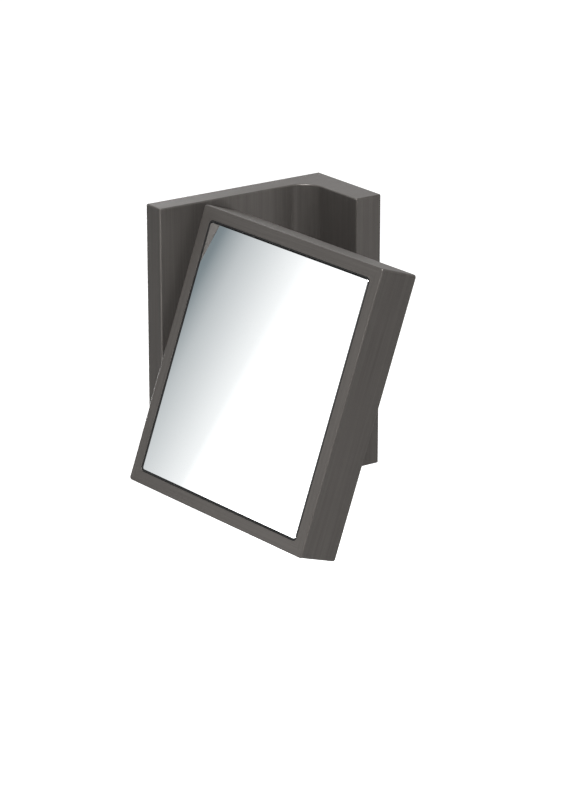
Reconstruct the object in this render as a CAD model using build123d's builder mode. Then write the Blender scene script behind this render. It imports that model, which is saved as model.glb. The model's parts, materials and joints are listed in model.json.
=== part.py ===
from build123d import *
import math
import os

# Wall-hung shaving mirror: a deep framed mirror held beside a rigid arm that stands out from
# the wall. Millimetres, +Z up. The origin is the middle of the bracket's back, on the wall
# plane Y = 0. The arm reaches out along -Y, and X runs to the user's right along the wall.

# ---- driving dimensions --------------------------------------------------------------------
bracket_height = 190.0
wall_leg_width = 71.0
wall_leg_depth = 20.0
arm_length = 140.0
arm_thickness = 17.0
inner_corner_radius = 15.0
shell_wall = 3.0            # wall of the hollow bracket
bracket_edge_radius = 1.0
bracket_corner_radius = 1.2

mirror_width = 172.0
mirror_height = 190.0
mirror_depth = 31.0
frame_wall = 2.5            # side walls of the mirror's box
front_border = 8.3          # visible metal between the box's edge and the window
border_thickness = 2.0
frame_corner_radius = 2.0
frame_edge_radius = 0.8
window_corner_radius = 3.4
glass_gap = 1.0             # black line between window and glass
glass_thickness = 4.0
glass_recess = 0.3          # glass face below the front border
glass_bevel = 0.8

side_gap = 5.0              # arm to mirror box, mirror square to the wall
hinge_setback = 12.0        # swivel axis in from the box's side
tilt_at_rest = 19.3         # degrees, front turned up
swivel_at_rest = 6.3        # degrees, front turned to the user's right
clearance = 0.1             # between faces that slide or drop in

# ---- reference places ----------------------------------------------------------------------
arm_left = -wall_leg_width / 2
arm_right = arm_left + arm_thickness
leg_right = wall_leg_width / 2
bracket_bottom = -bracket_height / 2

pivot = Vector(arm_right + side_gap + hinge_setback, mirror_depth / 2 - arm_length, 0)
tilt = math.radians(tilt_at_rest)
swivel = math.radians(swivel_at_rest)
upward = Vector(0, math.sin(tilt), math.cos(tilt))
across = Vector(math.cos(swivel), math.sin(swivel) * math.cos(tilt), -math.sin(swivel) * math.sin(tilt))
facing = Vector(math.sin(swivel), -math.cos(swivel) * math.cos(tilt), math.cos(swivel) * math.sin(tilt))
middle = pivot + across * (mirror_width / 2 - hinge_setback)

# Mirror box: x across the glass, y up it, z out of it, from the middle of the box.
box_plane = Plane(origin=middle, x_dir=across, z_dir=facing)
box_axis = Axis(middle, facing)
hinge_x = hinge_setback - mirror_width / 2      # swivel axis in box_plane
# Swivel parts: z up along the swivel axis, x across the box, from the pivot.
swivel_plane = Plane(origin=pivot, x_dir=across, z_dir=upward)
# Tilt parts: z towards the arm along the tilt axis, offsets measured from X = 0.
tilt_plane = Plane(origin=(0, pivot.Y, pivot.Z), x_dir=upward, z_dir=(-1, 0, 0))
# Arm's own holes: z towards the arm's outer side, not turned with the tilt.
arm_plane = Plane(origin=(0, pivot.Y, pivot.Z), x_dir=(0, 0, 1), z_dir=(-1, 0, 0))


def disc(plane, radius, thickness, hole=0.0, mode=Mode.ADD):
    """Round plate or washer standing on a plane, in the part being built."""
    with BuildSketch(plane) as outline:
        Circle(radius)
        if hole:
            Circle(hole, mode=Mode.SUBTRACT)
    extrude(outline.sketch, amount=thickness, mode=mode)


def hexagon(plane, across_flats, thickness, hole=0.0, mode=Mode.ADD):
    """Hexagonal prism, with a round hole where one is given."""
    with BuildSketch(plane) as outline:
        RegularPolygon(across_flats / 2, 6, major_radius=False)
        if hole:
            Circle(hole, mode=Mode.SUBTRACT)
    extrude(outline.sketch, amount=thickness, mode=mode)


def panel(plane, width, height, thickness, radius, mode=Mode.ADD):
    """Rectangular plate with rounded corners, standing on a plane."""
    with BuildSketch(plane) as outline:
        RectangleRounded(width, height, radius)
    extrude(outline.sketch, amount=thickness, mode=mode)


def cone_washer(plane, outer, inner, low_edge, high_edge):
    """Disc spring: a thin cone whose inner rim is at low_edge and outer rim at high_edge."""
    sheet = 0.6
    with BuildSketch(Plane(origin=plane.origin, x_dir=plane.x_dir, z_dir=-plane.y_dir)) as section:
        with BuildLine():
            Polyline((inner, low_edge), (outer, high_edge), (outer, high_edge + sheet),
                     (inner, low_edge + sheet), close=True)
        make_face()
    revolve(section.sketch, axis=Axis(plane.origin, plane.z_dir))


# ---- bracket: hollow shell, wall plate and fixings -----------------------------------------
with BuildPart() as bracket_body:
    with BuildSketch(Plane.XY.offset(bracket_bottom)):
        with BuildLine():
            Polyline((arm_left, 0), (leg_right, 0), (leg_right, -wall_leg_depth),
                     (arm_right, -wall_leg_depth), (arm_right, -arm_length),
                     (arm_left, -arm_length), close=True)
        make_face()
        corners = vertices().sort_by_distance((arm_right, -wall_leg_depth, bracket_bottom))
        fillet(corners[0], inner_corner_radius)
        fillet(vertices().group_by(Axis.Y)[0], bracket_corner_radius)
        leg_end = vertices().sort_by_distance((leg_right, -wall_leg_depth, bracket_bottom))
        fillet(leg_end[0], bracket_corner_radius)
    extrude(amount=bracket_height)
    for end_face in (faces().sort_by(Axis.Z)[-1], faces().sort_by(Axis.Z)[0]):
        rim = end_face.edges().filter_by(lambda edge: edge.center().Y < -0.01)
        fillet(rim, bracket_edge_radius)
    # One cavity runs through leg and arm and is open to the wall.
    cavity_height = bracket_height - 2 * shell_wall
    with BuildSketch(Plane.XY.offset(-cavity_height / 2)):
        with BuildLine():
            Polyline((arm_left + shell_wall, 0), (leg_right - shell_wall, 0),
                     (leg_right - shell_wall, shell_wall - wall_leg_depth),
                     (arm_right - shell_wall, shell_wall - wall_leg_depth),
                     (arm_right - shell_wall, shell_wall - arm_length),
                     (arm_left + shell_wall, shell_wall - arm_length), close=True)
        make_face()
        inside = (arm_right - shell_wall, shell_wall - wall_leg_depth, -cavity_height / 2)
        fillet(vertices().sort_by_distance(inside)[0], inner_corner_radius + shell_wall)
    extrude(amount=cavity_height, mode=Mode.SUBTRACT)
    # Solid boss round the tilt pivot, bored for the bush, with a service pocket outside.
    boss_radius = 14.0
    bush_radius = 8.0
    pocket_radius = 11.0
    pocket_depth = 10.0
    pocket_floor = -arm_left - pocket_depth
    disc(arm_plane.offset(-arm_right), boss_radius, arm_thickness - shell_wall / 2)
    disc(arm_plane.offset(-arm_right), bush_radius, arm_thickness, mode=Mode.SUBTRACT)
    disc(arm_plane.offset(pocket_floor), pocket_radius, pocket_depth, mode=Mode.SUBTRACT)
    # Two threaded bosses in the bottom wall for the grub screws.
    grub_spacing = 30.0
    grub_radius = 2.5
    grub_y = -9.0
    grub_boss_height = 3.5
    for x in (-grub_spacing / 2, grub_spacing / 2):
        floor = Plane(origin=(x, grub_y, -cavity_height / 2 - 0.5))
        disc(floor, 2 * grub_radius, grub_boss_height + 0.5)
        disc(Plane(origin=(x, grub_y, bracket_bottom)), grub_radius, 10.0, mode=Mode.SUBTRACT)
bracket_body.part.label = "bracket_body"

# The wall plate is screwed to the wall first. The bracket hangs over its top lip.
with BuildPart() as wall_mount_plate:
    plate_thickness = 3.0
    plate_width = 60.0
    plate_reach = 14.0
    plate_top = cavity_height / 2
    plate_bottom = -88.0
    with BuildSketch(Plane.YZ.offset(-plate_width / 2)):
        with BuildLine():
            Polyline((0, plate_bottom), (0, plate_top), (-plate_reach, plate_top),
                     (-plate_reach, plate_top - plate_thickness),
                     (-plate_thickness, plate_top - plate_thickness),
                     (-plate_thickness, plate_bottom + plate_thickness),
                     (-plate_reach, plate_bottom + plate_thickness),
                     (-plate_reach, plate_bottom), close=True)
        make_face()
    extrude(amount=plate_width)
    bends = edges().filter_by(Axis.X)
    fillet(bends.filter_by(lambda edge: abs(edge.center().Y) < 0.01), 2.0)
    lip_ends = edges().filter_by(Axis.Z).filter_by(lambda edge: edge.center().Y < -plate_thickness - 1)
    fillet(lip_ends, 3.0)
    screw_hole_radius = 2.75
    screw_spacing_x = 36.0
    screw_spacing_z = 120.0
    with BuildSketch(Plane.XZ):
        with GridLocations(screw_spacing_x, screw_spacing_z, 2, 2):
            Circle(screw_hole_radius)
    extrude(amount=plate_thickness, mode=Mode.SUBTRACT)
wall_mount_plate.part.label = "wall_mount_plate"

# Grub screws press up on the plate's bottom lip and lock the bracket.
with BuildPart() as grub_screws:
    grub_start = bracket_bottom + 0.5
    for x in (-grub_spacing / 2, grub_spacing / 2):
        screw_end = Plane(origin=(x, grub_y, grub_start))
        disc(screw_end, grub_radius, plate_bottom - grub_start)
        hexagon(screw_end, 2.5, 3.0, mode=Mode.SUBTRACT)
grub_screws.part.label = "grub_screws"

# ---- tilt joint: bush and washer in the arm, shaft with its friction stack ------------------
flange_thickness = 1.2
journal_radius = 5.96
bush_bore = 6.0
with BuildPart() as tilt_bush:
    disc(arm_plane.offset(-arm_right), bush_radius, pocket_floor + arm_right, hole=bush_bore)
    disc(arm_plane.offset(-arm_right - flange_thickness), 10.0, flange_thickness, hole=bush_bore)
    fillet(edges().filter_by(GeomType.CIRCLE).sort_by(Axis.X)[-1], 0.3)
tilt_bush.part.label = "tilt_bush"

friction_thickness = 1.0
with BuildPart() as friction_washer:
    disc(arm_plane.offset(pocket_floor), 10.0, friction_thickness, hole=6.1)
friction_washer.part.label = "friction_washer"

# Blind cap that closes the service pocket flush with the arm's outer side.
with BuildPart() as pivot_cap:
    cap_radius = pocket_radius - 0.05
    cap_thickness = 1.0
    cap_depth = 4.0
    disc(arm_plane.offset(-arm_left - cap_thickness), cap_radius, cap_thickness)
    disc(arm_plane.offset(-arm_left - cap_depth), cap_radius, cap_depth - cap_thickness, hole=9.8)
    chamfer(faces().sort_by(Axis.X)[0].edges(), 0.3)
pivot_cap.part.label = "pivot_cap"

# Shaft: eye round the swivel pin, neck, thrust collar, journal and threaded end.
eye_radius = 9.0
eye_height = 12.0
neck_radius = 5.5
pin_radius = 4.0
pin_clearance = 0.05
collar_face = -arm_right - flange_thickness - clearance
journal_end = pocket_floor + friction_thickness + clearance
stack_start = journal_end
pressure_thickness = 1.5
spring_height = 1.0
nut_start = stack_start + pressure_thickness + 2 * spring_height
nut_thickness = 4.0
nut_flats = 13.0
collar_radius = 7.5
with BuildPart() as tilt_shaft:
    disc(swivel_plane.offset(-eye_height / 2), eye_radius, eye_height)
    disc(tilt_plane.offset(-pivot.X), neck_radius, collar_face + pivot.X)
    disc(tilt_plane.offset(collar_face - 1.0), collar_radius, 1.0)
    disc(tilt_plane.offset(collar_face), journal_radius, journal_end - collar_face)
    disc(tilt_plane.offset(journal_end), pin_radius, nut_start + nut_thickness + 0.2 - journal_end)
    chamfer(faces().sort_by(Axis.X)[0].edges(), 0.5)
    disc(swivel_plane.offset(-eye_height), pin_radius + pin_clearance, 2 * eye_height, mode=Mode.SUBTRACT)
tilt_shaft.part.label = "tilt_shaft"

with BuildPart() as pressure_washer:
    disc(tilt_plane.offset(stack_start), 9.0, pressure_thickness, hole=pin_radius)
pressure_washer.part.label = "pressure_washer"

with BuildPart() as tilt_disc_springs:
    spring_base = tilt_plane.offset(stack_start + pressure_thickness)
    cone_washer(spring_base, 8.0, pin_radius + 0.1, 0.0, spring_height - 0.6)
    cone_washer(spring_base, 8.0, pin_radius + 0.1, 2 * spring_height - 0.6, spring_height)
tilt_disc_springs.part.label = "tilt_disc_springs"

with BuildPart() as tilt_lock_nut:
    hexagon(tilt_plane.offset(nut_start), nut_flats, nut_thickness, hole=pin_radius)
tilt_lock_nut.part.label = "tilt_lock_nut"

# ---- mirror head: box, glass and its backing ------------------------------------------------
back_of_box = -mirror_depth / 2
front_of_box = mirror_depth / 2
inner_width = mirror_width - 2 * frame_wall
inner_height = mirror_height - 2 * frame_wall
window_width = mirror_width - 2 * front_border
window_height = mirror_height - 2 * front_border
behind_border = front_of_box - border_thickness
side_plane = Plane(origin=pivot - across * hinge_setback, x_dir=upward, z_dir=-across)
slot_height = 16.6
slot_depth = 21.8
slot_corner_radius = 3.0
with BuildPart() as mirror_frame:
    panel(box_plane.offset(back_of_box), mirror_width, mirror_height, mirror_depth, frame_corner_radius)
    fillet(faces().sort_by(box_axis)[-1].edges(), frame_edge_radius)
    panel(box_plane.offset(back_of_box), inner_width, inner_height,
          mirror_depth - border_thickness, 0.8, mode=Mode.SUBTRACT)
    panel(box_plane.offset(behind_border), window_width, window_height,
          border_thickness, window_corner_radius, mode=Mode.SUBTRACT)
    panel(side_plane, slot_height, slot_depth, -frame_wall, slot_corner_radius, mode=Mode.SUBTRACT)
mirror_frame.part.label = "mirror_frame"

# Black grommet that lines the slot; its ends stop the swivel.
liner_flange = (21.0, 26.0)
liner_flange_thickness = 1.2
liner_opening = (13.2, 18.4)
with BuildPart() as slot_liner:
    panel(side_plane.offset(-clearance), slot_height - 2 * clearance, slot_depth - 2 * clearance,
          clearance - frame_wall, slot_corner_radius - clearance)
    panel(side_plane.offset(-frame_wall), *liner_flange, -liner_flange_thickness, slot_corner_radius)
    panel(side_plane, *liner_opening, -frame_wall - 2.0, 2.5, mode=Mode.SUBTRACT)
slot_liner.part.label = "slot_liner"

glass_width = window_width - 2 * glass_gap
glass_height = window_height - 2 * glass_gap
glass_front = front_of_box - glass_recess
glass_back = glass_front - glass_thickness
glass_corner_radius = window_corner_radius - glass_gap
with BuildPart() as mirror_glass:
    panel(box_plane.offset(glass_back), glass_width, glass_height, glass_thickness, glass_corner_radius)
    chamfer(faces().sort_by(box_axis)[-1].edges(), glass_bevel)
mirror_glass.part.label = "mirror_glass"

pad_thickness = 1.0
pad_size = (140.0, 158.0)
carrier_thickness = 1.2
carrier_front = glass_back - pad_thickness
carrier_back = carrier_front - carrier_thickness
with BuildPart() as adhesive_pad:
    panel(box_plane.offset(carrier_front), *pad_size, pad_thickness, 4.0)
adhesive_pad.part.label = "adhesive_pad"

# L-section rubber ring: a foot behind the border and a lip that fills the gap round the glass.
gasket_foot = 1.6
lip_recess = 0.2
with BuildPart() as glass_gasket:
    panel(box_plane.offset(carrier_front), glass_width + 2 * gasket_foot, glass_height + 2 * gasket_foot,
          behind_border - carrier_front, glass_corner_radius + gasket_foot)
    panel(box_plane.offset(behind_border), window_width, window_height,
          border_thickness - lip_recess, window_corner_radius)
    panel(box_plane.offset(carrier_front), glass_width, glass_height,
          front_of_box - carrier_front, glass_corner_radius, mode=Mode.SUBTRACT)
glass_gasket.part.label = "glass_gasket"

# Studs welded behind the border clamp the carrier plate against the gasket.
stud_radius = 1.5
stud_length = 8.0
side_studs = (160.0, 110.0)     # spacing of the four studs on the long sides
end_studs = (100.0, 178.0)      # spacing of the four studs at top and bottom


def stud_places(plane):
    """Planes at the eight studs, at the depth of the plane given."""
    spots = [Vector(sx * span[0] / 2, sy * span[1] / 2) for span in (side_studs, end_studs)
             for sx in (-1, 1) for sy in (-1, 1)]
    return [Plane(origin=plane.from_local_coords(spot), x_dir=plane.x_dir, z_dir=plane.z_dir) for spot in spots]


def grid_places(plane, spacing_x, spacing_y, centre_x=0.0):
    """Planes at the corners of a rectangle on the plane given."""
    spots = [Vector(centre_x + sx * spacing_x / 2, sy * spacing_y / 2) for sx in (-1, 1) for sy in (-1, 1)]
    return [Plane(origin=plane.from_local_coords(spot), x_dir=plane.x_dir, z_dir=plane.z_dir) for spot in spots]


with BuildPart() as weld_studs:
    for place in stud_places(box_plane.offset(behind_border)):
        disc(place, stud_radius, -stud_length)
weld_studs.part.label = "weld_studs"

standoff_spacing = (140.0, 158.0)
fork_screw_spacing = (16.0, 36.0)
fork_screw_x = hinge_x + 31.0
fork_screw_radius = 2.0
rivet_radius = 1.8
with BuildPart() as carrier_plate:
    panel(box_plane.offset(carrier_back), inner_width - 1.0, inner_height - 1.0, carrier_thickness, 1.5)
    side_notch = (3.0, 24.0)    # room for the slot liner's flange
    with BuildSketch(box_plane.offset(carrier_back)):
        with Locations((-(inner_width - 1.0) / 2, 0)):
            Rectangle(*side_notch)
    extrude(amount=carrier_thickness, mode=Mode.SUBTRACT)
    for place in stud_places(box_plane.offset(carrier_back)):
        disc(place, stud_radius + 0.1, carrier_thickness, mode=Mode.SUBTRACT)
    for place in grid_places(box_plane.offset(carrier_back), *standoff_spacing):
        disc(place, rivet_radius, carrier_thickness, mode=Mode.SUBTRACT)
    for place in grid_places(box_plane.offset(carrier_back), *fork_screw_spacing, fork_screw_x):
        disc(place, fork_screw_radius, carrier_thickness, mode=Mode.SUBTRACT)
carrier_plate.part.label = "carrier_plate"

stud_nut_flats = 5.5
stud_nut_thickness = 2.4
with BuildPart() as carrier_nuts:
    for place in stud_places(box_plane.offset(carrier_back)):
        hexagon(place, stud_nut_flats, -stud_nut_thickness, hole=stud_radius)
carrier_nuts.part.label = "carrier_nuts"

# ---- swivel joint: fork on the carrier plate, pin and friction stack -----------------------
ear_radius = 8.0
ear_thickness = 4.0
washer_thickness = 1.0
ear_start = eye_height / 2 + clearance + washer_thickness
ear_end = ear_start + ear_thickness
web_start = 12.0
web_end = 15.0
fork_flange_end = 44.0
fork_flange_height = 50.0
fork_flange_thickness = 3.0
with BuildPart() as swivel_fork:
    # Local y of swivel_plane points out of the back, so the front is at negative y.
    for level in (ear_start, -ear_end):
        with BuildSketch(swivel_plane.offset(level)):
            Circle(ear_radius)
            with Locations((web_end / 2, 0)):
                Rectangle(web_end, 2 * ear_radius)
            Circle(pin_radius, mode=Mode.SUBTRACT)
        extrude(amount=ear_thickness)
    with BuildSketch(swivel_plane.offset(-ear_end)):
        with Locations(((web_start + web_end) / 2, 0)):
            Rectangle(web_end - web_start, 2 * ear_radius)
    extrude(amount=2 * ear_end)
    flange_middle = hinge_x + (web_start + fork_flange_end) / 2
    flange_corner = Plane(origin=box_plane.offset(carrier_back).from_local_coords((flange_middle, 0)),
                          x_dir=across, z_dir=-facing)
    panel(flange_corner, fork_flange_end - web_start, fork_flange_height, fork_flange_thickness, 3.0)
    for place in grid_places(box_plane.offset(carrier_back), *fork_screw_spacing, fork_screw_x):
        disc(place, fork_screw_radius, -fork_flange_thickness, mode=Mode.SUBTRACT)
swivel_fork.part.label = "swivel_fork"

fork_screw_head = (3.6, 2.2)        # radius, height
with BuildPart() as fork_screws:
    for place in grid_places(box_plane.offset(carrier_back - fork_flange_thickness),
                             *fork_screw_spacing, fork_screw_x):
        disc(place, fork_screw_radius, fork_flange_thickness + carrier_thickness)
        disc(place, fork_screw_head[0], -fork_screw_head[1])
        hexagon(place.offset(-fork_screw_head[1]), 2.5, 1.4, mode=Mode.SUBTRACT)
fork_screws.part.label = "fork_screws"

with BuildPart() as swivel_washers:
    disc(swivel_plane.offset(eye_height / 2 + clearance), ear_radius, washer_thickness, hole=pin_radius)
    disc(swivel_plane.offset(-ear_start), ear_radius, washer_thickness, hole=pin_radius)
swivel_washers.part.label = "swivel_washers"

pin_head_thickness = 3.0
swivel_stack_start = -ear_end - 2 * spring_height
swivel_nut_thickness = 4.5
pin_head_radius = 6.5
with BuildPart() as swivel_pin:
    pin_end = swivel_stack_start - swivel_nut_thickness - 0.5
    disc(swivel_plane.offset(pin_end), pin_radius, ear_end - pin_end)
    disc(swivel_plane.offset(ear_end), pin_head_radius, pin_head_thickness)
    chamfer(faces().sort_by(Axis(pivot, upward))[0].edges(), 0.5)
swivel_pin.part.label = "swivel_pin"

with BuildPart() as swivel_disc_springs:
    spring_base = swivel_plane.offset(swivel_stack_start)
    cone_washer(spring_base, 7.5, pin_radius + 0.1, 0.0, spring_height - 0.6)
    cone_washer(spring_base, 7.5, pin_radius + 0.1, 2 * spring_height - 0.6, spring_height)
swivel_disc_springs.part.label = "swivel_disc_springs"

with BuildPart() as swivel_lock_nut:
    hexagon(swivel_plane.offset(swivel_stack_start), nut_flats, -swivel_nut_thickness, hole=pin_radius)
swivel_lock_nut.part.label = "swivel_lock_nut"

# ---- back cover -----------------------------------------------------------------------------
cover_thickness = 1.5
cover_front = back_of_box + cover_thickness
cover_screw_radius = 1.5
cover_screw_length = 10.5
head_radius = 2.9
with BuildPart() as cover_standoffs:
    for place in grid_places(box_plane.offset(cover_front), *standoff_spacing):
        hexagon(place, 6.0, carrier_back - cover_front)
        disc(place.offset(carrier_back - cover_front), rivet_radius, carrier_thickness)
        disc(place, cover_screw_radius, 10.0, mode=Mode.SUBTRACT)
cover_standoffs.part.label = "cover_standoffs"

with BuildPart() as back_cover:
    panel(box_plane.offset(back_of_box), inner_width - 0.4, inner_height - 0.4, cover_thickness, 1.0)
    with BuildSketch(box_plane.offset(back_of_box)):
        with GridLocations(*standoff_spacing, 2, 2):
            Circle(head_radius)
    extrude(amount=cover_thickness, taper=43.0, mode=Mode.SUBTRACT)
back_cover.part.label = "back_cover"

with BuildPart() as cover_screws:
    for place in grid_places(box_plane.offset(back_of_box), *standoff_spacing):
        with BuildSketch(place) as head_outline:
            Circle(head_radius)
        extrude(head_outline.sketch, amount=cover_thickness, taper=43.0)
        disc(place, cover_screw_radius, cover_screw_length)
        hexagon(place, 2.0, 1.0, mode=Mode.SUBTRACT)
cover_screws.part.label = "cover_screws"

# ---- write one STEP file for each piece -----------------------------------------------------
pieces = [
    bracket_body, wall_mount_plate, grub_screws, tilt_bush, friction_washer, pivot_cap,
    tilt_shaft, pressure_washer, tilt_disc_springs, tilt_lock_nut,
    mirror_frame, weld_studs, slot_liner, mirror_glass, glass_gasket, adhesive_pad,
    carrier_plate, carrier_nuts, swivel_fork, fork_screws, swivel_washers, swivel_pin,
    swivel_disc_springs, swivel_lock_nut, cover_standoffs, back_cover, cover_screws,
]
os.makedirs("parts", exist_ok=True)
for piece in pieces:
    export_step(piece.part, f"parts/{piece.part.label}.step")
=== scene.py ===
import bpy
import bmesh
import json
import math
from mathutils import Matrix, Vector


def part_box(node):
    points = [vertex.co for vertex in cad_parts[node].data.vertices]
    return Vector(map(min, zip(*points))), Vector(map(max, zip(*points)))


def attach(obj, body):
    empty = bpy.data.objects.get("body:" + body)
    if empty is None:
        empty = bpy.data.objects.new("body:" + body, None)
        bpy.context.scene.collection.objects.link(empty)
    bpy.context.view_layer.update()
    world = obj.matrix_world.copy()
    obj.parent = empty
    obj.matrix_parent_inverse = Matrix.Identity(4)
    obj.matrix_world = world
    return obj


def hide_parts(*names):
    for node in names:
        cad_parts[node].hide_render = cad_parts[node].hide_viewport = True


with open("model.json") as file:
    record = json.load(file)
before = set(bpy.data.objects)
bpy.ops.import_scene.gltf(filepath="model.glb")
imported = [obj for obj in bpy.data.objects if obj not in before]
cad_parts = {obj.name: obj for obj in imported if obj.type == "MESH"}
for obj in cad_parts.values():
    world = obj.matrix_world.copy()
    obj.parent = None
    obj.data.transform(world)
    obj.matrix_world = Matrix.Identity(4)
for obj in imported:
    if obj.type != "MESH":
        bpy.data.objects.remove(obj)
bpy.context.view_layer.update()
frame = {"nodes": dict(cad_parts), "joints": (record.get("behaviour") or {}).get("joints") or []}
scene = bpy.context.scene
mm = 0.001

joints = {joint["name"]: joint for joint in frame["joints"]}
pivot = Vector(joints["mirror_tilt"]["pos_m"])
upward = Vector(joints["mirror_swivel"]["axis"]).normalized()  # up the glass
restTurn = -math.radians(sum(joints["mirror_swivel"]["range_deg"]) / 2)  # stops are even about square
across = Matrix.Rotation(restTurn, 3, upward) @ Vector((1, 0, 0))  # left to right over the glass
facing = across.cross(upward)  # out of the glass
headTurn = Matrix((across, upward, facing)).transposed()


def span(node, turn=Matrix.Identity(3)):
    # lowest and highest corner of a CAD node along turned axes
    points = [turn.transposed() @ v.co for v in frame["nodes"][node].data.vertices]
    low = Vector([min(p[i] for p in points) for i in range(3)])
    high = Vector([max(p[i] for p in points) for i in range(3)])
    return low, high


boxLow, boxHigh = span("mirror_frame", headTurn)
boxMiddle = (boxLow + boxHigh) / 2
headPlace = headTurn.to_4x4() @ Matrix.Translation(boxMiddle)  # x across, y up, z out of the box
boxHalf = (boxHigh - boxLow) / 2


def headSpan(node):
    low, high = span(node, headTurn)
    return low - boxMiddle, high - boxMiddle


# z points to the arm along the tilt axis
armPlace = Matrix.Translation((0, pivot.y, pivot.z)) @ Matrix.Rotation(math.radians(-90), 4, "Y")
print("frame read")


def roundedOutline(corners, inset=0.0, steps=6):
    # corners are (x, y, radius), anticlockwise; inset moves the line inwards round the same arc centres
    points = []
    for i, (x, y, radius) in enumerate(corners):
        here = Vector((x, y))
        before = (here - Vector(corners[i - 1][:2])).normalized()
        after = (Vector(corners[(i + 1) % len(corners)][:2]) - here).normalized()
        inBefore, inAfter = Vector((-before.y, before.x)), Vector((-after.y, after.x))
        towards = (inBefore + inAfter) / (1 + inBefore.dot(inAfter))
        if radius == 0:
            points.append(here + towards * inset)
            continue
        turn = math.atan2(before.cross(after), before.dot(after))
        side = 1 if turn > 0 else -1  # 1 at an outer corner, -1 at an inner one
        centre = here + towards * radius * side
        reach = radius - side * inset
        for k in range(steps + 1):
            swing = Matrix.Rotation(turn * k / steps, 2)
            points.append(centre - swing @ inBefore * reach * side)
    return points


square = ((-1, -1), (1, -1), (1, 1), (-1, 1))


def rectCorners(halfX, halfY, radius):
    return [(x * halfX, y * halfY, radius) for x, y in square]


def quarter(radius, steps=5):
    # (inset, drop) pairs round an edge, from the face to the side
    angles = [math.radians(90 * k / steps) for k in range(steps + 1)]
    return [(radius * (1 - math.sin(a)), radius * (1 - math.cos(a))) for a in angles]


def prismRings(corners, low, high, rim, steps=6):
    # outline stacked from low to high, with both rims rounded
    edge = quarter(rim) if rim else [(0, 0)]
    levels = [(inset, low + drop) for inset, drop in edge]
    levels += [(inset, high - drop) for inset, drop in edge[::-1]]
    return [[(p.x, p.y, level) for p in roundedOutline(corners, inset, steps)] for inset, level in levels]


def loft(name, rings, loop=False):
    # skin over rings of equal length; loop joins the last ring to the first, otherwise both ends are capped
    count = len(rings[0])
    verts = [p for ring in rings for p in ring]
    faces = []
    for r in range(len(rings) if loop else len(rings) - 1):
        a, b = r * count, (r + 1) % len(rings) * count
        faces += [(a + i, a + (i + 1) % count, b + (i + 1) % count, b + i) for i in range(count)]
    if not loop:
        faces += [tuple(range(count))[::-1], tuple(range(len(verts) - count, len(verts)))]
    mesh = bpy.data.meshes.new(name)
    mesh.from_pydata(verts, [], faces)
    work = bmesh.new()
    work.from_mesh(mesh)
    bmesh.ops.remove_doubles(work, verts=work.verts, dist=1e-7)
    bmesh.ops.recalc_face_normals(work, faces=work.faces)
    work.to_mesh(mesh)
    work.free()
    piece = bpy.data.objects.new(name, mesh)
    scene.collection.objects.link(piece)
    return piece


def lathe(name, profile, steps=64):
    # profile is (radius, height) points of a closed section, turned about z
    rings = []
    for radius, height in profile:
        turns = [2 * math.pi * k / steps for k in range(steps)]
        rings.append([(radius * math.cos(t), radius * math.sin(t), height) for t in turns])
    return loft(name, rings, loop=True)


def applied(piece):
    # the modifiers' result becomes the piece's own mesh
    graph = bpy.context.evaluated_depsgraph_get()
    mesh = bpy.data.meshes.new_from_object(piece.evaluated_get(graph))
    piece.modifiers.clear()
    piece.data = mesh
    return piece


def cut(piece, tool, operation="DIFFERENCE"):
    step = piece.modifiers.new("cut", "BOOLEAN")
    step.operation, step.object, step.solver = operation, tool, "EXACT"
    applied(piece)
    bpy.data.objects.remove(tool)
    return piece


def moved(piece, place):
    piece.data.transform(place)
    piece.data.update()
    return piece


uprightGrain = {0: ("y", "z"), 1: ("x", "z"), 2: ("x", "y")}  # (across, along) for faces that look x, y, z
headGrain = {0: ("z", "y"), 1: ("z", "x"), 2: ("x", "y")}


def grainMap(piece, faceGrain):
    # one UV unit is a metre; v runs along the grain, picked by the way each face looks
    layer = piece.data.uv_layers.new(name="grain")
    for face in piece.data.polygons:
        n = [abs(c) for c in face.normal]
        widest = n.index(max(n))
        for corner in face.loop_indices:
            p = piece.data.vertices[piece.data.loops[corner].vertex_index].co
            along = {"x": p.x, "y": p.y, "z": p.z}
            u, v = faceGrain[widest]
            layer.data[corner].uv = (along[u], along[v])
    return piece


def finished(piece, body, slotName, material, *nodes, place=None, sharp=32):
    # smooth shading with flat faces kept flat, then its place, body and slot
    mesh = piece.data
    for face in mesh.polygons:
        face.use_smooth = True
    mesh.set_sharp_from_angle(angle=math.radians(sharp))
    step = piece.modifiers.new("flatFaces", "WEIGHTED_NORMAL")
    step.keep_sharp = True
    applied(piece)
    if place is not None:
        moved(piece, place)
    piece.data.materials.clear()
    piece.data.materials.append(material)
    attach(piece, body)
    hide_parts(*nodes)
    return piece


def newGroup(name, inputs, outputs):
    group = bpy.data.node_groups.new(name, "ShaderNodeTree")
    for label, kind, value in inputs:
        socket = group.interface.new_socket(name=label, in_out="INPUT", socket_type=kind)
        if value is not None:
            socket.default_value = value
    for label, kind in outputs:
        group.interface.new_socket(name=label, in_out="OUTPUT", socket_type=kind)
    return group, group.nodes.new("NodeGroupInput"), group.nodes.new("NodeGroupOutput")


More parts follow.
